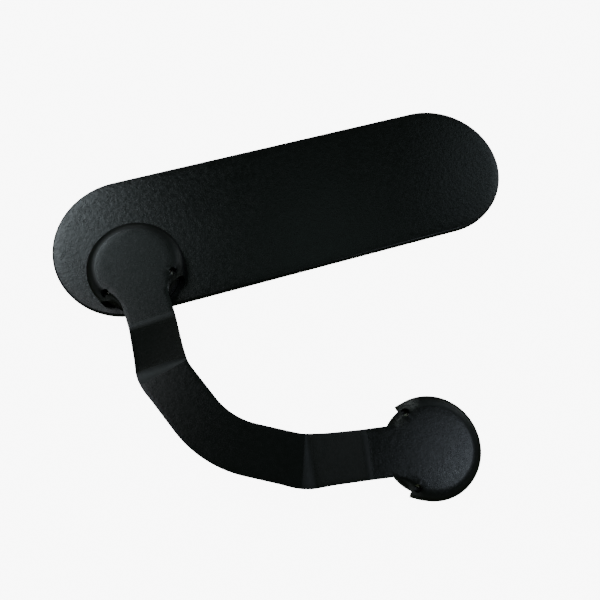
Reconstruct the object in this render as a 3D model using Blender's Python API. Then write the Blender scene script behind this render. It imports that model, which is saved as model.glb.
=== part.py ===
"""Twin-cup magnet strap parked on an obround steel keeper plate.

Metres, +Z up.  The origin is the centre of the keeper plate's bottom face and
+X runs along the plate.  The near cup stands on the plate, the strap rises to
a curved finger bridge and comes down to the far cup, clear of the plate.
"""
import bmesh
import bpy
import math

for old in list(bpy.data.objects):
    bpy.data.objects.remove(old, do_unlink=True)

# Keeper plate.
PLATE_LENGTH = 0.16335
PLATE_WIDTH = 0.050
PLATE_THICK = 0.002
PLATE_EDGE = 0.0004

# Pressed steel strap and its two drawn cups, one piece of sheet.
GAP = 0.0003
SHEET = 0.0015
CUP_RADIUS = 0.01583
CUP_TOP_Z = PLATE_THICK + 0.0074
CUP_RIM_Z = PLATE_THICK + GAP
SHOULDER_DROP = 0.0031
SHOULDER_REACH = 0.0037
NEAR_CUP_XY = (-0.05494, -0.01042)
STRAP_HALF = 0.0073
NECK_FLARE = 0.0004
NECK_RUN = 0.022
BEND_SPREAD = 0.0002
STRAP_TOP_Z = PLATE_THICK + 0.0187
LEG_HEADING = math.radians(3.8)
BEND_LOW_S = 0.0207
BEND_HIGH_S = 0.03866
BEND_LOW_R = 0.0045
BEND_HIGH_R = 0.0060
# Plan of the strap's centre line: (length, turn in degrees), cup to cup.
HALF_PLAN = ((0.03753, 0.0), (0.0050, 19.08), (0.01279, 0.0))
MAIN_BEND = (0.018946, 37.99)
# Corner between the strap and the end of the cup wall, (along, across) the leg.
FACE_REACH = 0.01210
FACE_TIP = (0.0050, 0.0111)
WEB_START = 0.0134
WEB_BOW = (0.0101, 0.0084)
WEB_TIP = (0.0088, 0.0115)
WALL_TIP = (0.0081, 0.0138)
WEB_DROP = 0.0016
WEB_COLUMNS = 4
WEB_ROWS = 2
STRAP_COLUMNS = 4
SHOULDER_STEPS = 5
WALL_COLUMNS = 32
WALL_START_DEG = 69.0
RELIEF_AT = (0.0066, 0.0114)
RELIEF_R = 0.00125

# What each cup holds.
MAGNET_R = 0.0127
MAGNET_TOP_Z = CUP_RIM_Z + 0.0044
RING_INNER_R = MAGNET_R + GAP
RING_OUTER_R = CUP_RADIUS - SHEET - GAP
RING_TOP_Z = CUP_RIM_Z + 0.0042
GLUE_R = 0.0118
GLUE_BOTTOM_Z = MAGNET_TOP_Z + GAP
GLUE_TOP_Z = CUP_TOP_Z - SHEET - GAP


def material(name, colour, metallic, roughness):
    """One plain Principled BSDF."""
    mat = bpy.data.materials.new(name)
    mat.use_nodes = True
    shader = mat.node_tree.nodes["Principled BSDF"]
    shader.inputs["Base Color"].default_value = (*colour, 1.0)
    shader.inputs["Metallic"].default_value = metallic
    shader.inputs["Roughness"].default_value = roughness
    mat.diffuse_color = (*colour, 1.0)
    return mat


def finish(name, bm, mat, centre):
    """Turn a bmesh in world metres into a named object with its origin at centre."""
    bmesh.ops.translate(bm, verts=bm.verts, vec=(-centre[0], -centre[1], -centre[2]))
    mesh = bpy.data.meshes.new(name)
    bm.to_mesh(mesh)
    bm.free()
    obj = bpy.data.objects.new(name, mesh)
    obj.location = centre
    bpy.context.collection.objects.link(obj)
    mesh.materials.append(mat)
    for poly in mesh.polygons:
        poly.use_smooth = True
    mesh.set_sharp_from_angle(angle=math.radians(38))
    return obj


def bevel(obj, width, segments, degrees=50):
    mod = obj.modifiers.new("edge", 'BEVEL')
    mod.width = width
    mod.segments = segments
    mod.limit_method = 'ANGLE'
    mod.angle_limit = math.radians(degrees)
    mod.harden_normals = True
    return mod


# ---- plan of the strap -------------------------------------------------------

def plan_segments():
    """The whole centre line as (length, turn in radians) pieces, near cup to far cup."""
    half = [(length, math.radians(turn)) for length, turn in HALF_PLAN]
    main = [(MAIN_BEND[0], math.radians(MAIN_BEND[1]))]
    return half + main + half[::-1]


def strap_length():
    return sum(length for length, _ in plan_segments())


def plan_point(station):
    """Position, direction and left normal of the centre line at a station."""
    x, y = NEAR_CUP_XY
    heading = LEG_HEADING
    left = station
    for length, turn in plan_segments():
        step = min(left, length)
        part = turn * step / length
        if abs(turn) < 1e-9:
            x += step * math.sin(heading)
            y -= step * math.cos(heading)
        else:
            radius = length / turn
            x += radius * (math.cos(heading) - math.cos(heading + part))
            y -= radius * (math.sin(heading + part) - math.sin(heading))
            heading += part
        left -= step
        if left <= 1e-12:
            break
    return (x, y), (math.sin(heading), -math.cos(heading)), (math.cos(heading), math.sin(heading))


def bend_rows():
    """(station, height) pairs up one ramp, with both bends rounded."""
    rise = STRAP_TOP_Z - CUP_TOP_Z
    run = BEND_HIGH_S - BEND_LOW_S
    slope = math.atan2(rise, run)
    rows = []
    for corner, height, radius, sign in ((BEND_LOW_S, CUP_TOP_Z, BEND_LOW_R, 1.0),
                                         (BEND_HIGH_S, STRAP_TOP_Z, BEND_HIGH_R, -1.0)):
        reach = radius * math.tan(slope / 2.0)
        for step in range(4):
            angle = slope * step / 3.0
            if sign > 0:
                s = corner - reach + radius * math.sin(angle)
                z = height + radius * (1.0 - math.cos(angle))
            else:
                s = corner + reach - radius * math.sin(slope - angle)
                z = height - radius * (1.0 - math.cos(slope - angle))
            rows.append((s, z))
    return rows


def strap_rows():
    """All cross rows of the strap between the two cups' collars."""
    total = strap_length()
    ramp = bend_rows()
    rows = [(0.0160, CUP_TOP_Z)] + ramp
    top_start = ramp[-1][0] + 0.0018
    top_end = total - top_start
    count = 20
    top = [(top_start + (top_end - top_start) * i / count, STRAP_TOP_Z) for i in range(count + 1)]
    down = [(total - s, z) for s, z in rows[::-1]]
    return rows + top + down


# ---- one drawn cup -----------------------------------------------------------

def lerp(a, b, t):
    return (a[0] + (b[0] - a[0]) * t, a[1] + (b[1] - a[1]) * t)


def ease(t):
    return t * t * (3.0 - 2.0 * t)


def shoulder(step):
    """Radius and height down the rounded shoulder."""
    angle = math.radians(90.0) * step / SHOULDER_STEPS
    radius = CUP_RADIUS - SHOULDER_REACH + SHOULDER_REACH * math.sin(angle)
    return radius, CUP_TOP_Z - SHOULDER_DROP * (1.0 - math.cos(angle))


def web_drop(column, row):
    """How far the corner web is pressed down below the face."""
    press = 1.0 - math.cos(math.radians(80.0) * row / WEB_ROWS)
    return WEB_DROP * ease(column / WEB_COLUMNS) * press / (1.0 - math.cos(math.radians(80.0)))


def strap_edges(station):
    """Half widths on the outer (right) and inner (left) side of the centre line."""
    s = min(station, strap_length() - station)
    neck = 1.0 - ease(min(1.0, max(0.0, (s - WEB_START) / NECK_RUN)))
    bend = ease(max(0.0, 1.0 - abs(s - BEND_HIGH_S) / 0.007))
    return STRAP_HALF + BEND_SPREAD * bend, STRAP_HALF + NECK_FLARE * neck + BEND_SPREAD * bend


def strap_across(station, i):
    """Distance of cross point i from the centre line, outer side negative."""
    outer, inner = strap_edges(station)
    return -outer + (outer + inner) * i / STRAP_COLUMNS


def arc_point(across):
    """Point of the round face's edge at this distance across the leg."""
    return (math.sqrt(FACE_REACH ** 2 - across ** 2), across)


def web_point(corner, share):
    """Hollow free edge of the web, from the leg (share 0) to the wall (share 1)."""
    return lerp(lerp(corner, WEB_BOW, share), lerp(WEB_BOW, WEB_TIP, share), share)


def collar_row(row):
    """Strap row between the round face (row 0) and the end of the web (last row)."""
    out = []
    for i in range(STRAP_COLUMNS + 1):
        across = strap_across(WEB_START, i)
        arc = arc_point(across)[0]
        out.append((arc + (WEB_START - arc) * row / WEB_ROWS, across))
    return out


def wall_profile():
    """Lines (row by row) down the wall's first column, its end cut to a small tip."""
    mid = lerp(FACE_TIP, WEB_TIP, 0.5)
    rows = [(FACE_TIP, CUP_TOP_Z),
            (mid, CUP_TOP_Z - web_drop(WEB_COLUMNS, 1)),
            (WEB_TIP, CUP_TOP_Z - web_drop(WEB_COLUMNS, 2))]
    z_start = rows[-1][1]
    z_wall = CUP_TOP_Z - SHOULDER_DROP
    for step in range(1, 4):
        angle = math.radians(30.0 * step)
        rows.append((lerp(WEB_TIP, WALL_TIP, math.sin(angle)),
                     z_start + (z_wall - z_start) * (1.0 - math.cos(angle))))
    rows.append((WALL_TIP, 0.5 * (shoulder(5)[1] + CUP_RIM_Z)))
    rows.append((WALL_TIP, CUP_RIM_Z))
    return rows


def wall_column(degrees):
    angle = math.radians(degrees)
    rows = []
    for step in range(SHOULDER_STEPS + 1):
        radius, z = shoulder(step)
        rows.append(((radius * math.cos(angle), radius * math.sin(angle)), z))
    edge = (CUP_RADIUS * math.cos(angle), CUP_RADIUS * math.sin(angle))
    rows.append((edge, 0.5 * (shoulder(SHOULDER_STEPS)[1] + CUP_RIM_Z)))
    rows.append((edge, CUP_RIM_Z))
    return rows


def mirror(rows):
    return [((point[0], -point[1]), z) for point, z in rows]


def add_cup(bm, centre, along, across):
    """Add a cup's face, webs, shoulder and wall.  Returns its collar's last row of vertices."""

    def vert(point, z):
        x = centre[0] + point[0] * along[0] + point[1] * across[0]
        y = centre[1] + point[0] * along[1] + point[1] * across[1]
        return bm.verts.new((x, y, z))

    collar = [[vert(p, CUP_TOP_Z) for p in collar_row(row)] for row in range(3)]
    for row in range(2):
        for i in range(STRAP_COLUMNS):
            bm.faces.new((collar[row][i], collar[row][i + 1],
                          collar[row + 1][i + 1], collar[row + 1][i]))

    ends = []
    for side, edge in ((1.0, STRAP_COLUMNS), (-1.0, 0)):
        lines = [[collar[row][edge] for row in range(3)]]
        corner = abs(strap_across(WEB_START, edge))
        for j in range(1, WEB_COLUMNS):
            face = lerp(arc_point(corner), FACE_TIP, j / WEB_COLUMNS)
            web = web_point((WEB_START, corner), j / WEB_COLUMNS)
            line = []
            for row in range(3):
                point = lerp(face, web, row / 2.0)
                line.append(vert((point[0], side * point[1]), CUP_TOP_Z - web_drop(j, row)))
            lines.append(line)
        rows = wall_profile() if side > 0 else mirror(wall_profile())
        first = [vert(p, z) for p, z in rows]
        lines.append(first)
        for j in range(WEB_COLUMNS):
            for row in range(2):
                bm.faces.new((lines[j][row], lines[j + 1][row],
                              lines[j + 1][row + 1], lines[j][row + 1]))
        ends.append((first, [line[0] for line in lines]))

    columns = [ends[0][0]]
    sweep = 360.0 - 2.0 * WALL_START_DEG
    for i in range(WALL_COLUMNS + 1):
        rows = wall_column(WALL_START_DEG + sweep * i / WALL_COLUMNS)
        columns.append([vert(p, z) for p, z in rows])
    columns.append(ends[1][0])
    for a, b in zip(columns, columns[1:]):
        for row in range(len(a) - 1):
            bm.faces.new((a[row], b[row], b[row + 1], a[row + 1]))

    rim = collar[0] + ends[0][1][1:]
    rim += [column[0] for column in columns[1:-1]]
    rim += ends[1][1][:0:-1]
    ring = []
    for v in rim:
        dx = (v.co.x - centre[0]) * 0.45
        dy = (v.co.y - centre[1]) * 0.45
        ring.append(bm.verts.new((centre[0] + dx, centre[1] + dy, CUP_TOP_Z)))
    hub = bm.verts.new((centre[0], centre[1], CUP_TOP_Z))
    for i in range(len(rim)):
        k = (i + 1) % len(rim)
        bm.faces.new((rim[i], rim[k], ring[k], ring[i]))
        bm.faces.new((ring[i], ring[k], hub))
    return collar[2]


def cutter(name, centre, radius, z_low, z_high):
    bm = bmesh.new()
    bmesh.ops.create_cone(bm, cap_ends=True, segments=16, radius1=radius, radius2=radius,
                          depth=z_high - z_low)
    mesh = bpy.data.meshes.new(name)
    bm.to_mesh(mesh)
    bm.free()
    obj = bpy.data.objects.new(name, mesh)
    obj.location = (centre[0], centre[1], 0.5 * (z_low + z_high))
    bpy.context.collection.objects.link(obj)
    obj.hide_render = True
    obj.display_type = 'WIRE'
    return obj


def build_strap(mat):
    """The whole pressing: sheet surface, then thickness, eased edges and corner reliefs."""
    bm = bmesh.new()
    total = strap_length()
    near, near_dir, near_left = plan_point(0.0)
    far, far_dir, far_left = plan_point(total)
    row = add_cup(bm, near, near_dir, near_left)
    for s, z in strap_rows():
        point, _, left = plan_point(s)
        line = []
        for i in range(STRAP_COLUMNS + 1):
            across = strap_across(s, i)
            line.append(bm.verts.new((point[0] + left[0] * across,
                                      point[1] + left[1] * across, z)))
        for i in range(STRAP_COLUMNS):
            bm.faces.new((row[i], row[i + 1], line[i + 1], line[i]))
        row = line
    last = add_cup(bm, far, (-far_dir[0], -far_dir[1]), far_left)
    for i in range(STRAP_COLUMNS):
        bm.faces.new((row[i], row[i + 1], last[i + 1], last[i]))
    bmesh.ops.recalc_face_normals(bm, faces=bm.faces)
    bm.faces.ensure_lookup_table()
    top = max(bm.faces, key=lambda f: f.calc_center_median().z)
    if top.normal.z < 0:
        bmesh.ops.reverse_faces(bm, faces=bm.faces)
    obj = finish("cup_strap", bm, mat, (near[0], near[1], 0.0))
    skin = obj.modifiers.new("sheet", 'SOLIDIFY')
    skin.thickness = SHEET
    skin.offset = -1.0
    skin.use_even_offset = True
    bevel(obj, 0.0003, 2, 60)
    count = 0
    for centre, along, left in ((near, near_dir, near_left),
                                (far, (-far_dir[0], -far_dir[1]), far_left)):
        for side in (1.0, -1.0):
            x = centre[0] + RELIEF_AT[0] * along[0] + side * RELIEF_AT[1] * left[0]
            y = centre[1] + RELIEF_AT[0] * along[1] + side * RELIEF_AT[1] * left[1]
            count += 1
            tool = cutter("relief_cutter_%d" % count, (x, y), RELIEF_R,
                          CUP_TOP_Z - 0.0042, CUP_TOP_Z + 0.002)
            cut = obj.modifiers.new("relief_%d" % count, 'BOOLEAN')
            cut.operation = 'DIFFERENCE'
            cut.solver = 'EXACT'
            cut.object = tool
    return obj, near, far


# ---- the other pieces --------------------------------------------------------

def build_plate(mat):
    """Flat obround blank with eased edges."""
    straight = 0.5 * (PLATE_LENGTH - PLATE_WIDTH)
    radius = 0.5 * PLATE_WIDTH
    outline = []
    steps = 28
    for centre, first in ((straight, -90.0), (-straight, 90.0)):
        for i in range(steps + 1):
            angle = math.radians(first + 180.0 * i / steps)
            outline.append((centre + radius * math.cos(angle), radius * math.sin(angle)))
    bm = bmesh.new()
    low = [bm.verts.new((x, y, 0.0)) for x, y in outline]
    high = [bm.verts.new((x, y, PLATE_THICK)) for x, y in outline]
    bm.faces.new(high)
    bm.faces.new(low[::-1])
    for i in range(len(outline)):
        k = (i + 1) % len(outline)
        bm.faces.new((low[i], low[k], high[k], high[i]))
    obj = finish("keeper_plate", bm, mat, (0.0, 0.0, 0.0))
    bevel(obj, PLATE_EDGE, 3)
    return obj


def build_turned(name, mat, centre, profile, closed_axis, segments=48):
    """Body of revolution about a vertical axis; profile is (radius, z) round the section."""
    bm = bmesh.new()
    rings = []
    for i in range(segments):
        angle = 2.0 * math.pi * i / segments
        ring = []
        for radius, z in profile:
            ring.append(bm.verts.new((centre[0] + radius * math.cos(angle),
                                      centre[1] + radius * math.sin(angle), z)))
        rings.append(ring)
    count = len(profile)
    for i in range(segments):
        a = rings[i]
        b = rings[(i + 1) % segments]
        for j in range(count if not closed_axis else count - 1):
            k = (j + 1) % count
            bm.faces.new((a[j], b[j], b[k], a[k]))
    if closed_axis:
        bm.faces.new([ring[0] for ring in rings])
        bm.faces.new([ring[-1] for ring in rings])
    bmesh.ops.recalc_face_normals(bm, faces=bm.faces)
    return finish(name, bm, mat, (centre[0], centre[1], 0.0))


def chamfered(radius, low, high, edge):
    """Outer section of a disc with small 45 degree edges, bottom to top."""
    return [(radius - edge, low), (radius, low + edge), (radius, high - edge), (radius - edge, high)]


black_coat = material("black_powder_coat", (0.018, 0.020, 0.021), 0.0, 0.42)
strap_coat = material("black_strap_coat", (0.015, 0.017, 0.018), 0.0, 0.38)
nickel = material("nickel_plate", (0.62, 0.60, 0.56), 1.0, 0.25)
potting = material("black_epoxy", (0.02, 0.02, 0.02), 0.0, 0.3)
adhesive = material("clear_adhesive", (0.45, 0.42, 0.34), 0.0, 0.4)

build_plate(black_coat)
strap, near_xy, far_xy = build_strap(strap_coat)
for label, xy in (("near", near_xy), ("far", far_xy)):
    build_turned(label + "_magnet", nickel, xy,
                 chamfered(MAGNET_R, CUP_RIM_Z, MAGNET_TOP_Z, 0.0003), True)
    build_turned(label + "_potting_ring", potting, xy,
                 [(RING_INNER_R, CUP_RIM_Z + GAP), (RING_OUTER_R, CUP_RIM_Z + GAP),
                  (RING_OUTER_R, RING_TOP_Z), (RING_INNER_R, RING_TOP_Z)], False)
    build_turned(label + "_glue_disc", adhesive, xy,
                 chamfered(GLUE_R, GLUE_BOTTOM_Z, GLUE_TOP_Z, 0.0001), True)
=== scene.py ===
"""Looks of the twin-cup magnet strap parked on its obround keeper plate.

Metres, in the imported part's frame: the plate's bottom face is at z = 0 and +X
runs along the plate.  Every pressing is rebuilt here at a finer resolution on
the CAD model's dimensions; only the cup walls, by 0.03 mm, and the relief
holes, by 0.2 mm, are drawn further in than there.
"""
import math

import bmesh
import bpy
from mathutils import Matrix, Vector


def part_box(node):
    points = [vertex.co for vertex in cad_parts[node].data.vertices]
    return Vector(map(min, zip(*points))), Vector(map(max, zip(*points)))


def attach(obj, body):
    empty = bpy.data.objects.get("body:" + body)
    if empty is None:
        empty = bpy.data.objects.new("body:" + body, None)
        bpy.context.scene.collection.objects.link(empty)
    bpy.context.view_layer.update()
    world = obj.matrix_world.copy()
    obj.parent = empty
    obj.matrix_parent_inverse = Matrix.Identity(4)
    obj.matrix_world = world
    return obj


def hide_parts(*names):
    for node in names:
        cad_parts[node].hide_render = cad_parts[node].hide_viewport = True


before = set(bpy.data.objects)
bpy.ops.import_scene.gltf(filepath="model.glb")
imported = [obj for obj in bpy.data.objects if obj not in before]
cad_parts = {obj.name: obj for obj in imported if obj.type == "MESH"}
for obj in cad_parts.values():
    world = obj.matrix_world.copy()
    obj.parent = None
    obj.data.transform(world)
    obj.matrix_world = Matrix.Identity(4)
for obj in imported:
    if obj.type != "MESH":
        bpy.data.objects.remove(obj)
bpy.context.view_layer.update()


def plan_centre(node):
    """Middle of a CAD node's box, seen from above."""
    low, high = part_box(node)
    return ((low[0] + high[0]) / 2, (low[1] + high[1]) / 2)


# ---- sizes, read off the frame or shared with the CAD design ------------------
QUARTER = math.radians(90.0)
PLATE_LOW, PLATE_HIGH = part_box("keeper_plate")
STRAP_LOW, STRAP_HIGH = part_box("cup_strap")
NEAR = plan_centre("near_magnet")
FAR = plan_centre("far_magnet")

# Keeper plate: rolled-over top edge, lower edge only broken.  Its flat faces have two
# inner rings, one this margin in from the outline and one this share of the half width.
PLATE_ROLL = 0.0007
PLATE_LOWER_EDGE = 0.0003
PLATE_MARGIN = 0.004
PLATE_CORE_SHARE = 0.55

# Cups: drawn from the strap's own sheet.
RIM_Z = STRAP_LOW[2]
CUP_TOP_Z = RIM_Z + 0.0071
SHEET = 0.0015
SHEET_EDGE = 0.0004
CUP_RADIUS = 0.01580
SHOULDER_DROP = 0.0031
SHOULDER_REACH = 0.0037
WALL_START_DEG = 69.0

# Strap: plan of its centre line as (length, turn in degrees), then its side view.
HALF_PLAN = ((0.03753, 0.0), (0.0050, 19.08), (0.01279, 0.0))
MAIN_BEND = (0.018946, 37.99)
LEG_HEADING = math.radians(3.8)
STRAP_TOP_Z = STRAP_HIGH[2]
STRAP_HALF = 0.0073
NECK_FLARE = 0.0004
NECK_RUN = 0.022
BEND_SPREAD = 0.0002
BEND_SPREAD_REACH = 0.007
BEND_LOW_S = 0.0207
BEND_HIGH_S = 0.03866
BEND_LOW_R = 0.0045
BEND_HIGH_R = 0.0060

# Corner between the strap and the end of a cup's wall, (along, across) the leg.
FACE_REACH = 0.01210
FACE_TIP = (0.0050, 0.0111)
WEB_START = 0.0134
WEB_BOW = (0.0101, 0.0084)
WEB_TIP = (0.0088, 0.0115)
WALL_TIP = (0.0081, 0.0138)
WEB_DROP = 0.0016
WEB_PRESS = math.radians(80.0)
RELIEF_AT = (0.0065, 0.01125)
RELIEF_R = 0.00122
RELIEF_CUT_DEPTH = 0.0062
RELIEF_CUT_DROP = 0.0011

# What each cup holds.
MAGNET_EDGE = 0.0004
GLUE_EDGE = 0.00015
POTTING_WALL_GAP = 0.0001
POTTING_MAGNET_GAP = 0.00005
POTTING_DIP = 0.0003
POTTING_CHAMFER_IN = 0.0006
POTTING_CHAMFER_DOWN = 0.0007

# ---- wear and painted glare on the strap's coat: shares in its vertex layers for wear, painted glare and dull ----
# The cut end of a cup's wall is worn from this row down to the end of the shoulder.
NOTCH_WEAR_FROM = 2
NOTCH_WEAR = 0.5
WEB_WEAR = 0.4
WALL_DULL = 0.8
# Scuffs beside one notch of the far cup: along, across, radius, strength.
SCUFFS = ((0.0046, 0.0144, 0.0034, 2.4), (0.0093, 0.0087, 0.0024, 1.0))
SCUFF_Z = CUP_TOP_Z - 0.0008
# Painted glare on one side of the far cup's face, a lighter speckled patch that stands for a highlight: its
# direction, narrowness, and place and reach as shares of the face's radius.
GLARE_HEADING = math.radians(-65.0)
GLARE_FOCUS = 4
GLARE_MIDDLE = 0.8
GLARE_REACH = 0.4

# ---- mesh resolution ------------------------------------------------------------
PLATE_END_STEPS = 72
PLATE_SIDE_STEPS = 24
PLATE_ROLL_STEPS = 6
PLATE_LOWER_STEPS = 3
WEB_COLUMNS = 6
WEB_ROWS = 4
STRAP_COLUMNS = 10
SHOULDER_STEPS = 10
WALL_COLUMNS = 116
WALL_ROWS = 4
LEG_ROWS = 6
BEND_STEPS = 8
RAMP_ROWS = 8
BRIDGE_ROWS = 64
# First row of the leg past the web's edge, and of the bridge past the upper bend.
LEG_FIRST_ROW = 0.0005
BRIDGE_FIRST_ROW = 0.0004
FACE_RINGS = (0.82, 0.6, 0.36, 0.14)
RELIEF_STEPS = 28
SHEET_EDGE_STEPS = 4
LATHE_STEPS = 144
DISC_RINGS = 6
SHARP_ANGLE = math.radians(35)
BEVEL_ANGLE = math.radians(60)


# ---- materials ------------------------------------------------------------------
DUST = (0.055, 0.058, 0.064)
WORN_STEEL = (0.22, 0.22, 0.218)
# lighter coat colour of the painted glare on the far cup's face
PAINTED_GLARE_COLOUR = (0.20, 0.205, 0.215)
DULL_ROUGHNESS = 0.22


class Nodes:
    """Small helper that wires one node material; all textures use object coordinates."""

    def __init__(self, name):
        self.mat = bpy.data.materials.new(name)
        self.mat.use_nodes = True
        self.tree = self.mat.node_tree
        self.shader = self.tree.nodes["Principled BSDF"]
        self.coords = self.tree.nodes.new("ShaderNodeTexCoord")

    def link(self, a, b):
        self.tree.links.new(a, b)

    def noise(self, scale, detail=2.0, rough=0.5, stretch=None):
        node = self.tree.nodes.new("ShaderNodeTexNoise")
        node.inputs["Scale"].default_value = scale
        node.inputs["Detail"].default_value = detail
        node.inputs["Roughness"].default_value = rough
        source = self.coords.outputs["Object"]
        if stretch is not None:
            mapping = self.tree.nodes.new("ShaderNodeMapping")
            mapping.inputs["Scale"].default_value = stretch
            self.link(source, mapping.inputs["Vector"])
            source = mapping.outputs["Vector"]
        self.link(source, node.inputs["Vector"])
        return node.outputs["Fac"]

    def cells(self, scale):
        node = self.tree.nodes.new("ShaderNodeTexVoronoi")
        node.inputs["Scale"].default_value = scale
        self.link(self.coords.outputs["Object"], node.inputs["Vector"])
        return node.outputs["Distance"]

    def ramp(self, value, low, high, out_low=0.0, out_high=1.0):
        node = self.tree.nodes.new("ShaderNodeMapRange")
        node.inputs["From Min"].default_value = low
        node.inputs["From Max"].default_value = high
        node.inputs["To Min"].default_value = out_low
        node.inputs["To Max"].default_value = out_high
        self.link(value, node.inputs["Value"])
        return node.outputs["Result"]

    def math(self, kind, a, b):
        node = self.tree.nodes.new("ShaderNodeMath")
        node.operation = kind
        for socket, value in ((node.inputs[0], a), (node.inputs[1], b)):
            if isinstance(value, (int, float)):
                socket.default_value = value
            else:
                self.link(value, socket)
        return node.outputs[0]

    def mix(self, factor, a, b):
        node = self.tree.nodes.new("ShaderNodeMix")
        node.data_type = 'RGBA'
        for key, value in (("A", a), ("B", b)):
            socket = [s for s in node.inputs if s.name == key and s.type == 'RGBA'][0]
            if isinstance(value, tuple):
                socket.default_value = (*value, 1.0)
            else:
                self.link(value, socket)
        self.link(factor, node.inputs["Factor"])
        return [s for s in node.outputs if s.type == 'RGBA'][0]

    def attribute(self, name):
        node = self.tree.nodes.new("ShaderNodeAttribute")
        node.attribute_name = name
        return node.outputs["Fac"]

    def bump(self, height, strength, distance):
        node = self.tree.nodes.new("ShaderNodeBump")
        node.inputs["Strength"].default_value = strength
        node.inputs["Distance"].default_value = distance
        self.link(height, node.inputs["Height"])
        return node.outputs["Normal"]

    def set(self, socket, value):
        target = self.shader.inputs[socket]
        if isinstance(value, tuple):
            target.default_value = (*value, 1.0)
        elif isinstance(value, (int, float)):
            target.default_value = value
        else:
            self.link(value, target)


def powder_coat(name, dark, pale, peel, grain, relief, rough, spread, wear=0.0):
    """Black powder coat: orange peel, finer grain, faint dust, coat thinned on worn edges, and a painted
    glare where its layer is set.
    """
    n = Nodes(name)
    height = n.math('ADD', n.math('MULTIPLY', n.noise(peel, 2.0, 0.55), 0.65),
                    n.math('MULTIPLY', n.noise(grain, 3.0, 0.6), 0.35))
    n.set("Normal", n.bump(height, 1.0, relief))
    # broad patches of thicker and thinner coat, then specks of dust
    tone = n.mix(n.ramp(n.noise(90.0, 3.0, 0.6), 0.3, 0.7, 0.25, 0.75), dark, pale)
    tone = n.mix(n.ramp(n.noise(grain * 1.3, 1.0, 0.5), 0.66, 0.76, 0.0, 0.22), tone, DUST)
    blotch = n.math('ADD', n.math('MULTIPLY', n.noise(peel * 0.75, 2.0, 0.6), 0.85),
                    n.math('MULTIPLY', n.noise(peel * 0.12, 2.0, 0.5), 0.15))
    sheen = n.ramp(blotch, 0.36, 0.64, rough - spread, rough + spread)
    if wear > 0.0:
        broken = n.ramp(n.noise(1300.0, 4.0, 0.7), 0.38, 0.66)
        worn = n.math('MULTIPLY', n.math('MULTIPLY', n.attribute("wear"), broken), wear)
        tone = n.mix(worn, tone, WORN_STEEL)
        # painted glare: lighter, speckled coat where the glare layer is set
        specks = n.ramp(n.noise(2000.0, 3.0, 0.7), 0.54, 0.66)
        tone = n.mix(n.math('MULTIPLY', n.attribute("painted_glare"), specks), tone, PAINTED_GLARE_COLOUR)
        sheen = n.math('ADD', sheen, n.math('MULTIPLY', n.attribute("dull"), DULL_ROUGHNESS))
    n.set("Base Color", tone)
    n.set("Roughness", sheen)
    return n.mat


def nickel_plate():
    """Bright nickel with fine turned lines and a few dull smears."""
    n = Nodes("nickel_plate")
    smear = n.noise(140.0, 4.0, 0.6)
    n.set("Base Color", n.mix(n.ramp(smear, 0.35, 0.7), (0.60, 0.58, 0.54), (0.50, 0.485, 0.455)))
    n.set("Metallic", 1.0)
    n.set("Roughness", n.ramp(smear, 0.3, 0.7, 0.16, 0.30))
    n.set("Normal", n.bump(n.noise(2600.0, 2.0, 0.5, (1.0, 0.05, 1.0)), 0.25, 0.00002))
    return n.mat


def cast_epoxy():
    """Black potting compound with small bubbles."""
    n = Nodes("cast_epoxy")
    n.set("Base Color", n.mix(n.ramp(n.noise(300.0), 0.3, 0.7), (0.012, 0.012, 0.013), (0.03, 0.03, 0.031)))
    n.set("Roughness", n.ramp(n.noise(500.0), 0.3, 0.7, 0.2, 0.36))
    bubbles = n.ramp(n.cells(900.0), 0.0, 0.25, 1.0, 0.0)
    n.set("Normal", n.bump(n.math('ADD', bubbles, n.noise(400.0)), 0.5, 0.00006))
    return n.mat


def cured_adhesive():
    """Dull amber adhesive film."""
    n = Nodes("cured_adhesive")
    n.set("Base Color", n.mix(n.ramp(n.noise(220.0, 4.0), 0.3, 0.7), (0.42, 0.39, 0.31), (0.52, 0.48, 0.38)))
    n.set("Roughness", n.ramp(n.noise(350.0), 0.3, 0.7, 0.3, 0.5))
    n.set("Normal", n.bump(n.noise(700.0, 3.0), 0.4, 0.0001))
    return n.mat


# ---- small mesh helpers -----------------------------------------------------------

def link_object(name, bm, mat):
    """Smooth-shaded object made from bm, which is freed."""
    mesh = bpy.data.meshes.new(name)
    bm.to_mesh(mesh)
    bm.free()
    mesh.materials.append(mat)
    for poly in mesh.polygons:
        poly.use_smooth = True
    obj = bpy.data.objects.new(name, mesh)
    bpy.context.scene.collection.objects.link(obj)
    return obj


def lerp(a, b, t):
    """Plan point at share t of the way from a to b."""
    return (a[0] + (b[0] - a[0]) * t, a[1] + (b[1] - a[1]) * t)


def ease(t):
    """Smooth step from 0 to 1."""
    return t * t * (3.0 - 2.0 * t)


def lathe(name, mat, centre, profile):
    """Closed section of (radius, z) points turned about a vertical axis; radius 0 closes a pole."""
    bm = bmesh.new()
    poles = {}
    rings = []
    for i in range(LATHE_STEPS):
        angle = 2.0 * math.pi * i / LATHE_STEPS
        ring = []
        for j, (radius, z) in enumerate(profile):
            if radius == 0.0:
                if j not in poles:
                    poles[j] = bm.verts.new((centre[0], centre[1], z))
                ring.append(poles[j])
            else:
                ring.append(bm.verts.new((centre[0] + radius * math.cos(angle),
                                          centre[1] + radius * math.sin(angle), z)))
        rings.append(ring)
    # a section that starts on the axis also ends there, so its last point isn't joined to its first
    count = len(profile)
    spans = count - 1 if 0 in poles else count
    for i in range(LATHE_STEPS):
        a = rings[i]
        b = rings[(i + 1) % LATHE_STEPS]
        for j in range(spans):
            k = (j + 1) % count
            bm.faces.new(list(dict.fromkeys((a[j], b[j], b[k], a[k]))))
    bmesh.ops.recalc_face_normals(bm, faces=bm.faces)
    return link_object(name, bm, mat)


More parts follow.
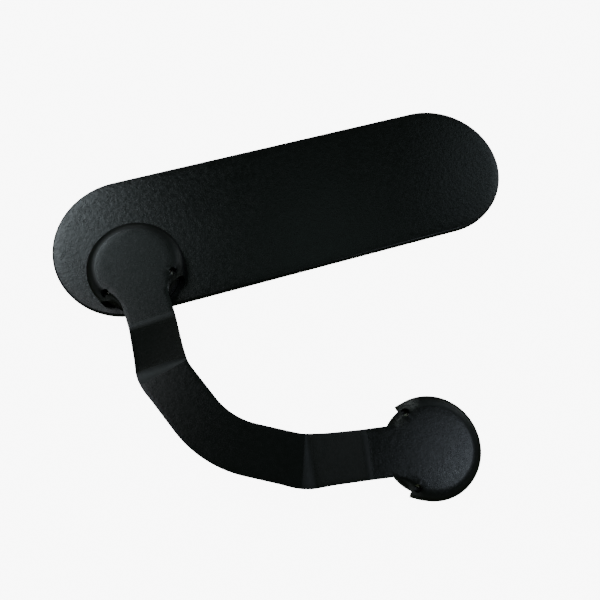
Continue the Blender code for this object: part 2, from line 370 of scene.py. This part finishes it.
def rounded(radius, low, high, edge, steps):
    """Half section of a disc from its lower pole to its upper pole, both edges rounded."""
    core = radius - edge
    flat = [core * i / DISC_RINGS for i in range(1, DISC_RINGS)]
    turns = [QUARTER * i / steps for i in range(steps + 1)]
    points = [(0.0, low)] + [(r, low) for r in flat]
    points += [(core + edge * math.sin(turn), low + edge - edge * math.cos(turn)) for turn in turns]
    points += [(core + edge * math.cos(turn), high - edge + edge * math.sin(turn)) for turn in turns]
    return points + [(r, high) for r in flat[::-1]] + [(0.0, high)]


# ---- keeper plate -----------------------------------------------------------------

def build_plate(mat):
    """Blanked obround: rolled-over top edge, near-square lower edge."""
    half = (PLATE_HIGH[1] - PLATE_LOW[1]) / 2
    straight = (PLATE_HIGH[0] - PLATE_LOW[0]) / 2 - half
    thick = PLATE_HIGH[2] - PLATE_LOW[2]
    bm = bmesh.new()

    def ring(inset, z):
        """Outline drawn in by inset: each round end, then the straight side after it."""
        verts = []
        radius = half - inset
        for centre, first in ((straight, -90.0), (-straight, 90.0)):
            for i in range(PLATE_END_STEPS + 1):
                angle = math.radians(first + 180.0 * i / PLATE_END_STEPS)
                verts.append(bm.verts.new((centre + radius * math.cos(angle),
                                           radius * math.sin(angle), z)))
            side = radius if centre > 0 else -radius
            for i in range(1, PLATE_SIDE_STEPS):
                x = centre - 2.0 * centre * i / PLATE_SIDE_STEPS
                verts.append(bm.verts.new((x, side, z)))
        return verts

    core = half * PLATE_CORE_SHARE
    rings = [ring(core, 0.0), ring(PLATE_MARGIN, 0.0)]
    for i in range(PLATE_LOWER_STEPS + 1):
        turn = QUARTER * i / PLATE_LOWER_STEPS
        rings.append(ring(PLATE_LOWER_EDGE * (1.0 - math.sin(turn)),
                          PLATE_LOWER_EDGE * (1.0 - math.cos(turn))))
    for i in range(PLATE_ROLL_STEPS + 1):
        turn = QUARTER * i / PLATE_ROLL_STEPS
        rings.append(ring(PLATE_ROLL * (1.0 - math.cos(turn)),
                          thick - PLATE_ROLL * (1.0 - math.sin(turn))))
    rings += [ring(PLATE_MARGIN, thick), ring(core, thick)]
    for a, b in zip(rings, rings[1:]):
        for i in range(len(a)):
            k = (i + 1) % len(a)
            bm.faces.new((a[i], a[k], b[k], b[i]))
    bm.faces.new(rings[0])
    bm.faces.new(rings[-1])
    bmesh.ops.recalc_face_normals(bm, faces=bm.faces)
    return link_object("plate_blank", bm, mat)


# ---- cup strap: centre line ---------------------------------------------------------

def plan_segments():
    """(length, turn in radians) of every stretch of the centre line, near cup to far cup."""
    half = [(length, math.radians(turn)) for length, turn in HALF_PLAN]
    return half + [(MAIN_BEND[0], math.radians(MAIN_BEND[1]))] + half[::-1]


def strap_length():
    """Length of the centre line, cup centre to cup centre."""
    return sum(length for length, _ in plan_segments())


def plan_point(station):
    """Position, direction and left normal of the centre line at this distance along it."""
    x, y = NEAR
    heading = LEG_HEADING
    left = station
    for length, turn in plan_segments():
        step = min(left, length)
        if turn == 0.0:
            x += step * math.sin(heading)
            y -= step * math.cos(heading)
        else:
            radius = length / turn
            part = turn * step / length
            x += radius * (math.cos(heading) - math.cos(heading + part))
            y -= radius * (math.sin(heading + part) - math.sin(heading))
            heading += part
        left -= step
    return (x, y), (math.sin(heading), -math.cos(heading)), (math.cos(heading), math.sin(heading))


def bend_rows():
    """(station, height, matt) up one ramp; both bends are rounded, and matt where they stretch."""
    rise = STRAP_TOP_Z - CUP_TOP_Z
    slope = math.atan2(rise, BEND_HIGH_S - BEND_LOW_S)
    rows = []
    for corner, height, radius, sign in ((BEND_LOW_S, CUP_TOP_Z, BEND_LOW_R, 1.0),
                                         (BEND_HIGH_S, STRAP_TOP_Z, BEND_HIGH_R, -1.0)):
        reach = radius * math.tan(slope / 2.0)
        for step in range(BEND_STEPS + 1):
            angle = slope * step / BEND_STEPS
            if sign > 0:
                s = corner - reach + radius * math.sin(angle)
                z = height + radius * (1.0 - math.cos(angle))
            else:
                s = corner + reach - radius * math.sin(slope - angle)
                z = height - radius * (1.0 - math.cos(slope - angle))
            rows.append((s, z, 1.0 if 0 < step < BEND_STEPS else 0.0))
        if sign > 0:
            low = rows[-1]
            high_s = BEND_HIGH_S - BEND_HIGH_R * math.tan(slope / 2.0) * math.cos(slope)
            for i in range(1, RAMP_ROWS):
                s = low[0] + (high_s - low[0]) * i / RAMP_ROWS
                rows.append((s, low[1] + (s - low[0]) * math.tan(slope), 0.0))
    return rows


def strap_rows():
    """(station, height, matt) of every row across the strap between the two cups."""
    total = strap_length()
    ramp = bend_rows()
    start = WEB_START + LEG_FIRST_ROW
    leg = [(start + (ramp[0][0] - start) * i / LEG_ROWS, CUP_TOP_Z, 0.0) for i in range(LEG_ROWS)]
    rows = leg + ramp
    first = ramp[-1][0] + BRIDGE_FIRST_ROW
    last = total - first
    bridge = [(first + (last - first) * i / BRIDGE_ROWS, STRAP_TOP_Z, 0.0)
              for i in range(BRIDGE_ROWS + 1)]
    return rows + bridge + [(total - s, z, matt) for s, z, matt in rows[::-1]]


def strap_edges(station):
    """Half widths on the outer (right) and inner (left) side of the centre line."""
    s = min(station, strap_length() - station)
    neck = 1.0 - ease(min(1.0, max(0.0, (s - WEB_START) / NECK_RUN)))
    bend = ease(max(0.0, 1.0 - abs(s - BEND_HIGH_S) / BEND_SPREAD_REACH))
    return STRAP_HALF + BEND_SPREAD * bend, STRAP_HALF + NECK_FLARE * neck + BEND_SPREAD * bend


def strap_across(station, i):
    """Signed distance from the centre line of the row's point i, right edge to left edge."""
    outer, inner = strap_edges(station)
    return -outer + (outer + inner) * i / STRAP_COLUMNS


# ---- cup strap: one cup ----------------------------------------------------------------
# A cup is (centre, direction along its leg, direction across it), all in plan; its
# points are (along, across) from its centre.

def arc_point(across):
    """Point of the round face's edge at this distance across the leg."""
    return (math.sqrt(FACE_REACH ** 2 - across ** 2), across)


def collar_row(row):
    """Points between the round face's edge (row 0) and the straight start of the strap."""
    out = []
    for i in range(STRAP_COLUMNS + 1):
        across = strap_across(WEB_START, i)
        arc = arc_point(across)[0]
        out.append((arc + (WEB_START - arc) * row / WEB_ROWS, across))
    return out


def web_point(corner, share):
    """Hollow free edge of the web, from the leg (share 0) to the wall (share 1)."""
    return lerp(lerp(corner, WEB_BOW, share), lerp(WEB_BOW, WEB_TIP, share), share)


def web_drop(column, row):
    """Depth that the web is pressed down, growing towards the wall and its free edge."""
    press = 1.0 - math.cos(WEB_PRESS * row / WEB_ROWS)
    return WEB_DROP * ease(column / WEB_COLUMNS) * press / (1.0 - math.cos(WEB_PRESS))


def shoulder(share):
    """Radius and height down the rounded shoulder, share 0 at the face, 1 at the wall."""
    angle = QUARTER * share
    radius = CUP_RADIUS - SHOULDER_REACH + SHOULDER_REACH * math.sin(angle)
    return radius, CUP_TOP_Z - SHOULDER_DROP * (1.0 - math.cos(angle))


def wall_rows(edge):
    """(point, z) of the wall below the shoulder, down to the rim."""
    z_wall = CUP_TOP_Z - SHOULDER_DROP
    return [(edge, z_wall + (RIM_Z - z_wall) * row / WALL_ROWS) for row in range(1, WALL_ROWS + 1)]


def notch_column():
    """The wall's first column, ending at the notch: WEB_ROWS rows of web, then the cut end."""
    rows = []
    for row in range(WEB_ROWS + 1):
        point = lerp(FACE_TIP, WEB_TIP, row / WEB_ROWS)
        rows.append((point, CUP_TOP_Z - web_drop(WEB_COLUMNS, row)))
    z_start = rows[-1][1]
    z_wall = CUP_TOP_Z - SHOULDER_DROP
    rest = SHOULDER_STEPS - WEB_ROWS
    for step in range(1, rest + 1):
        angle = QUARTER * step / rest
        point = lerp(WEB_TIP, WALL_TIP, math.sin(angle))
        rows.append((point, z_start + (z_wall - z_start) * (1.0 - math.cos(angle))))
    return rows + wall_rows(WALL_TIP)


def wall_column(degrees):
    """(point, z) over the shoulder and down the wall, this far round from the leg."""
    angle = math.radians(degrees)
    rows = []
    for step in range(SHOULDER_STEPS + 1):
        radius, z = shoulder(step / SHOULDER_STEPS)
        rows.append(((radius * math.cos(angle), radius * math.sin(angle)), z))
    return rows + wall_rows((CUP_RADIUS * math.cos(angle), CUP_RADIUS * math.sin(angle)))


def cup_xy(cup, point):
    """Place in plan of a point that is given along and across the cup's leg."""
    centre, along, across = cup
    return (centre[0] + point[0] * along[0] + point[1] * across[0],
            centre[1] + point[0] * along[1] + point[1] * across[1])


def fill_grid(bm, lines):
    """Faces between neighbouring lines of vertices."""
    for a, b in zip(lines, lines[1:]):
        for row in range(len(a) - 1):
            bm.faces.new((a[row], b[row], b[row + 1], a[row + 1]))


def fill_face(bm, centre, rim):
    """Round face inside its rim: rings that shrink to a small middle face."""
    outer = rim
    for share in FACE_RINGS:
        inner = [bm.verts.new((centre[0] + (v.co.x - centre[0]) * share,
                               centre[1] + (v.co.y - centre[1]) * share, CUP_TOP_Z)) for v in rim]
        for i in range(len(rim)):
            k = (i + 1) % len(rim)
            bm.faces.new((outer[i], outer[k], inner[k], inner[i]))
        outer = inner
    bm.faces.new(outer)


def add_cup(bm, cup):
    """Cup face, webs, shoulder and wall.  Returns the collar's last row of vertices."""
    wear = bm.verts.layers.float["wear"]
    dull = bm.verts.layers.float["dull"]

    def vert(point, z, worn=0.0, matt=0.0):
        v = bm.verts.new((*cup_xy(cup, point), z))
        v[wear] = worn
        v[dull] = matt
        return v

    def corner_lines(side, edge):
        """Lines of vertices over one web, from the collar's edge to the cut end of the wall."""
        lines = [[row[edge] for row in collar]]
        corner = abs(strap_across(WEB_START, edge))
        for j in range(1, WEB_COLUMNS):
            face = lerp(arc_point(corner), FACE_TIP, j / WEB_COLUMNS)
            web = web_point((WEB_START, corner), j / WEB_COLUMNS)
            line = []
            for row in range(WEB_ROWS + 1):
                point = lerp(face, web, row / WEB_ROWS)
                worn = WEB_WEAR * (row / WEB_ROWS) ** 2 * j / WEB_COLUMNS
                line.append(vert((point[0], side * point[1]), CUP_TOP_Z - web_drop(j, row), worn))
            lines.append(line)
        notch = []
        for row, (point, z) in enumerate(notch_column()):
            worn = NOTCH_WEAR if NOTCH_WEAR_FROM <= row <= SHOULDER_STEPS else 0.0
            notch.append(vert((point[0], side * point[1]), z, worn))
        lines.append(notch)
        fill_grid(bm, [line[:WEB_ROWS + 1] for line in lines])
        return lines

    collar = [[vert(p, CUP_TOP_Z) for p in collar_row(row)] for row in range(WEB_ROWS + 1)]
    fill_grid(bm, collar)
    left = corner_lines(1.0, STRAP_COLUMNS)
    right = corner_lines(-1.0, 0)
    columns = [left[-1]]
    sweep = 360.0 - 2.0 * WALL_START_DEG
    for i in range(WALL_COLUMNS + 1):
        rows = wall_column(WALL_START_DEG + sweep * i / WALL_COLUMNS)
        columns.append([vert(p, z, 0.0, WALL_DULL if row > 0 else 0.0)
                        for row, (p, z) in enumerate(rows)])
    columns.append(right[-1])
    fill_grid(bm, columns)
    fill_face(bm, cup[0], collar[0] + [line[0] for line in left[1:]]
              + [column[0] for column in columns[1:-1]] + [line[0] for line in right[:0:-1]])
    return collar[-1]


def scuff_and_paint_glare(bm, cup):
    """Coat scuffed beside one notch of this cup, and a painted glare, a lighter patch, on one side of its
    face.
    """
    wear = bm.verts.layers.float["wear"]
    painted_glare = bm.verts.layers.float["painted_glare"]
    spots = [(*cup_xy(cup, (along, across)), radius, strength)
             for along, across, radius, strength in SCUFFS]
    for v in bm.verts:
        for spot_x, spot_y, radius, strength in spots:
            off = math.hypot(v.co.x - spot_x, v.co.y - spot_y, v.co.z - SCUFF_Z)
            v[wear] = max(v[wear], strength * (1.0 - off / radius))
        # painted glare: lighter coat on the face towards one heading, strongest on a ring near its edge
        x = v.co.x - cup[0][0]
        y = v.co.y - cup[0][1]
        reach = math.hypot(x, y)
        if 0.0 < reach <= CUP_RADIUS:
            facing = max(0.0, (x * math.cos(GLARE_HEADING) + y * math.sin(GLARE_HEADING)) / reach)
            ring = max(0.0, 1.0 - abs(reach / FACE_REACH - GLARE_MIDDLE) / GLARE_REACH)
            v[painted_glare] = facing ** GLARE_FOCUS * ring


# ---- cup strap: the whole pressing ------------------------------------------------------

def relief_cutter(x, y):
    """Upright cylinder that cuts the relief hole where a cup's wall ends."""
    bm = bmesh.new()
    place = Matrix.Translation((x, y, CUP_TOP_Z - RELIEF_CUT_DROP))
    bmesh.ops.create_cone(bm, cap_ends=True, segments=RELIEF_STEPS, radius1=RELIEF_R,
                          radius2=RELIEF_R, depth=RELIEF_CUT_DEPTH, matrix=place)
    mesh = bpy.data.meshes.new("relief_cutter")
    bm.to_mesh(mesh)
    bm.free()
    obj = bpy.data.objects.new("relief_cutter", mesh)
    bpy.context.scene.collection.objects.link(obj)
    return obj


def apply_modifiers(obj):
    """Bake the modifier stack into the mesh."""
    graph = bpy.context.evaluated_depsgraph_get()
    mesh = bpy.data.meshes.new_from_object(obj.evaluated_get(graph), depsgraph=graph)
    obj.modifiers.clear()
    obj.data = mesh


def strap_skin(bm, cups):
    """Outer skin of both cups and of the strap between them, as one sheet."""
    for name in ("wear", "painted_glare", "dull"):
        bm.verts.layers.float.new(name)
    dull = bm.verts.layers.float["dull"]
    lines = [add_cup(bm, cups[0])]
    for s, z, matt in strap_rows():
        point, _, left = plan_point(s)
        line = []
        for i in range(STRAP_COLUMNS + 1):
            across = strap_across(s, i)
            v = bm.verts.new((point[0] + left[0] * across, point[1] + left[1] * across, z))
            v[dull] = matt
            line.append(v)
        lines.append(line)
    lines.append(add_cup(bm, cups[1]))
    scuff_and_paint_glare(bm, cups[1])
    fill_grid(bm, lines)
    bmesh.ops.recalc_face_normals(bm, faces=bm.faces)
    top = max(bm.faces, key=lambda face: face.calc_center_median().z)
    if top.normal.z < 0:
        bmesh.ops.reverse_faces(bm, faces=bm.faces)


def build_strap(mat):
    """Pressing: the skin given its thickness, eased edges and four relief holes."""
    near, near_along, near_left = plan_point(0.0)
    far, far_heading, far_left = plan_point(strap_length())
    cups = ((near, near_along, near_left), (far, (-far_heading[0], -far_heading[1]), far_left))
    bm = bmesh.new()
    strap_skin(bm, cups)
    obj = link_object("strap_pressing", bm, mat)
    skin = obj.modifiers.new("sheet", 'SOLIDIFY')
    skin.thickness = SHEET
    skin.offset = -1.0
    skin.use_even_offset = True
    edge = obj.modifiers.new("edge", 'BEVEL')
    edge.width = SHEET_EDGE
    edge.segments = SHEET_EDGE_STEPS
    edge.limit_method = 'ANGLE'
    edge.angle_limit = BEVEL_ANGLE
    cutters = []
    for cup in cups:
        for side in (1.0, -1.0):
            tool = relief_cutter(*cup_xy(cup, (RELIEF_AT[0], side * RELIEF_AT[1])))
            cut = obj.modifiers.new("relief", 'BOOLEAN')
            cut.operation = 'DIFFERENCE'
            cut.solver = 'EXACT'
            cut.object = tool
            cutters.append(tool)
    apply_modifiers(obj)
    for tool in cutters:
        bpy.data.objects.remove(tool, do_unlink=True)
    obj.data.set_sharp_from_angle(angle=SHARP_ANGLE)
    return obj


# ---- what each cup holds -------------------------------------------------------------

def potting_section(inner, outer, low, high):
    """Ring section whose lower face is hollow between magnet and wall, outer top edge cut off."""
    width = outer - inner
    hollow = [(inner + share * width, low + depth * POTTING_DIP)
              for share, depth in ((0.0, 0.0), (0.25, 0.8), (0.5, 1.0), (0.75, 0.8), (1.0, 0.0))]
    return hollow + [(outer, high - POTTING_CHAMFER_DOWN), (outer - POTTING_CHAMFER_IN, high),
                     (inner, high)]


# ---- build ---------------------------------------------------------------------------
plate_mat = powder_coat("coarse_powder_coat", (0.0085, 0.0098, 0.0105), (0.0125, 0.0140, 0.0150),
                        peel=800.0, grain=2600.0, relief=0.00009, rough=0.22, spread=0.06)
strap_mat = powder_coat("satin_powder_coat", (0.0085, 0.0100, 0.0105), (0.0120, 0.0138, 0.0145),
                        peel=900.0, grain=3000.0, relief=0.00004, rough=0.22, spread=0.03, wear=0.75)
nickel_mat = nickel_plate()
epoxy_mat = cast_epoxy()
adhesive_mat = cured_adhesive()

plate = build_plate(plate_mat)
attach(plate, "plate")
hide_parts("keeper_plate")

strap = build_strap(strap_mat)
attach(strap, "strap")
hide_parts("cup_strap")

for label, body, centre in (("near", "near_core", NEAR), ("far", "strap", FAR)):
    low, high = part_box(label + "_magnet")
    radius = (high[0] - low[0]) / 2
    disc = lathe(label + "_disc_magnet", nickel_mat, centre,
                 rounded(radius, low[2], high[2], MAGNET_EDGE, steps=4))
    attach(disc, body)
    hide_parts(label + "_magnet")

    low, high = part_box(label + "_potting_ring")
    section = potting_section(radius + POTTING_MAGNET_GAP, CUP_RADIUS - SHEET - POTTING_WALL_GAP,
                              low[2], high[2])
    ring = lathe(label + "_potting", epoxy_mat, centre, section)
    ring.data.set_sharp_from_angle(angle=SHARP_ANGLE)
    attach(ring, body)
    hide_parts(label + "_potting_ring")

    low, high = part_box(label + "_glue_disc")
    film = lathe(label + "_glue", adhesive_mat, centre,
                 rounded((high[0] - low[0]) / 2, low[2], high[2], GLUE_EDGE, steps=3))
    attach(film, body)
    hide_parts(label + "_glue_disc")


# ---- floor, light, camera --------------------------------------------------------------
FLOOR_Z = -0.0001
SWEEP_START = 1.2
SWEEP_RADIUS = 1.0
SWEEP_STEPS = 12
FLOOR_STEPS = 64
PAPER_GLOW = 8.5
LIGHT_AIM = Vector((-0.005, -0.04, 0.005))
COOL_WHITE = (0.92, 1.00, 1.04)
# name, elevation, azimuth, (width, height), power, colour
LIGHTS = (("key_left", 49.0, 124.5, (0.36, 0.26), 1.15, (0.89, 1.01, 1.07)),
          ("fill_left", 66.0, 146.0, (0.28, 0.28), 0.33, (0.95, 0.99, 1.05)),
          ("upper_left", 62.0, 110.0, (0.26, 0.26), 0.075, (0.83, 1.04, 1.05)),
          ("key_right", 63.6, -22.0, (0.24, 0.30), 0.39, (0.87, 0.98, 1.14)),
          ("back_right", 45.0, 30.0, (0.30, 0.30), 0.13, (0.84, 1.02, 1.12)),
          ("shoulder_right", 36.0, 20.0, (0.30, 0.22), 0.34, (0.90, 1.00, 1.08)),
          ("top_back", 66.0, 60.0, (0.30, 0.30), 0.045, (0.78, 1.08, 1.03)),
          ("low_right", 18.0, -8.0, (0.40, 0.24), 0.055, (0.90, 1.00, 1.06)),
          ("low_strip", 9.0, 20.0, (0.70, 0.10), 0.50, COOL_WHITE),
          ("mid_back", 27.0, 98.0, (0.40, 0.30), 0.23, COOL_WHITE),
          ("low_back", 14.0, 92.0, (0.40, 0.24), 0.020, (1.05, 0.97, 0.97)))
# Weak low ring of (azimuth, power), so that sides turned away from the keys still show their form.
RIM_LIGHTS = ((45.0, 0.11), (180.0, 0.17), (225.0, 0.17), (270.0, 0.06), (315.0, 0.09))
RIM_ELEVATION = 19.0
RIM_SIZE = (0.80, 0.36)


def backdrop():
    """Seamless pale paper: a flat floor that sweeps up far out on every side and closes overhead."""
    bm = bmesh.new()
    section = [(0.0, 0.0), (0.4, 0.0), (SWEEP_START, 0.0)]
    for i in range(1, SWEEP_STEPS + 1):
        turn = QUARTER * i / SWEEP_STEPS
        section.append((SWEEP_START + SWEEP_RADIUS * math.sin(turn), SWEEP_RADIUS * (1.0 - math.cos(turn))))
    section += [(SWEEP_START + SWEEP_RADIUS, 2.0), (1.6, 3.0), (0.0, 3.4)]
    rings = []
    for radius, height in section:
        z = FLOOR_Z + height
        if radius == 0.0:
            rings.append([bm.verts.new((0.0, 0.0, z))] * FLOOR_STEPS)
        else:
            turns = [2.0 * math.pi * i / FLOOR_STEPS for i in range(FLOOR_STEPS)]
            rings.append([bm.verts.new((radius * math.cos(turn), radius * math.sin(turn), z))
                          for turn in turns])
    for a, b in zip(rings, rings[1:]):
        for i in range(FLOOR_STEPS):
            k = (i + 1) % FLOOR_STEPS
            bm.faces.new(list(dict.fromkeys((a[i], a[k], b[k], b[i]))))
    n = Nodes("pale_paper")
    n.set("Base Color", n.mix(n.ramp(n.noise(6.0), 0.3, 0.7), (0.93, 0.93, 0.93), (0.95, 0.95, 0.95)))
    n.set("Roughness", 0.9)
    n.set("Specular IOR Level", 0.1)
    n.set("Emission Color", (1.0, 1.0, 1.0))
    n.set("Emission Strength", PAPER_GLOW)
    obj = link_object("pale_paper", bm, n.mat)
    # the glowing paper neither lights the object nor shows in its coat
    obj.visible_glossy = False
    obj.visible_diffuse = False
    obj.visible_shadow = False


def softbox(name, elevation, azimuth, size, power, colour):
    """Elliptical area light 1 m out from the object, facing it; angles in degrees."""
    data = bpy.data.lights.new(name, 'AREA')
    data.shape = 'ELLIPSE'
    data.size = size[0]
    data.size_y = size[1]
    data.energy = power
    data.color = colour
    obj = bpy.data.objects.new(name, data)
    el = math.radians(elevation)
    az = math.radians(azimuth)
    ray = Vector((math.cos(az) * math.cos(el), math.sin(az) * math.cos(el), math.sin(el)))
    obj.location = LIGHT_AIM + ray
    obj.rotation_euler = (-ray).to_track_quat('-Z', 'Y').to_euler()
    bpy.context.scene.collection.objects.link(obj)


def faint_ambient():
    """World light that lifts the deepest shadows."""
    world = bpy.data.worlds.new("studio")
    world.use_nodes = True
    background = world.node_tree.nodes["Background"]
    background.inputs["Color"].default_value = (0.92, 1.15, 0.72, 1.0)
    background.inputs["Strength"].default_value = 0.041
    bpy.context.scene.world = world


def add_camera():
    """Camera above the far cup's side of the plate, set by its own right, up and back axes."""
    lens = bpy.data.cameras.new("camera")
    lens.sensor_width = 36.0
    lens.lens = 33.99
    lens.clip_start = 0.005
    lens.clip_end = 20.0
    camera = bpy.data.objects.new("camera", lens)
    right = Vector((0.95565, -0.28928, 0.05524))
    up = Vector((0.26030, 0.91740, 0.30104))
    back = Vector((-0.13776, -0.27331, 0.95201))
    place = Matrix((right, up, back)).transposed().to_4x4()
    place.translation = Vector((-0.031682, -0.087206, 0.182020 + PLATE_HIGH[2]))
    camera.matrix_world = place
    bpy.context.scene.collection.objects.link(camera)
    bpy.context.scene.camera = camera


backdrop()
for light in LIGHTS:
    softbox(*light)
for azimuth, power in RIM_LIGHTS:
    softbox("rim_%d" % azimuth, RIM_ELEVATION, azimuth, RIM_SIZE, power, COOL_WHITE)
faint_ambient()
add_camera()
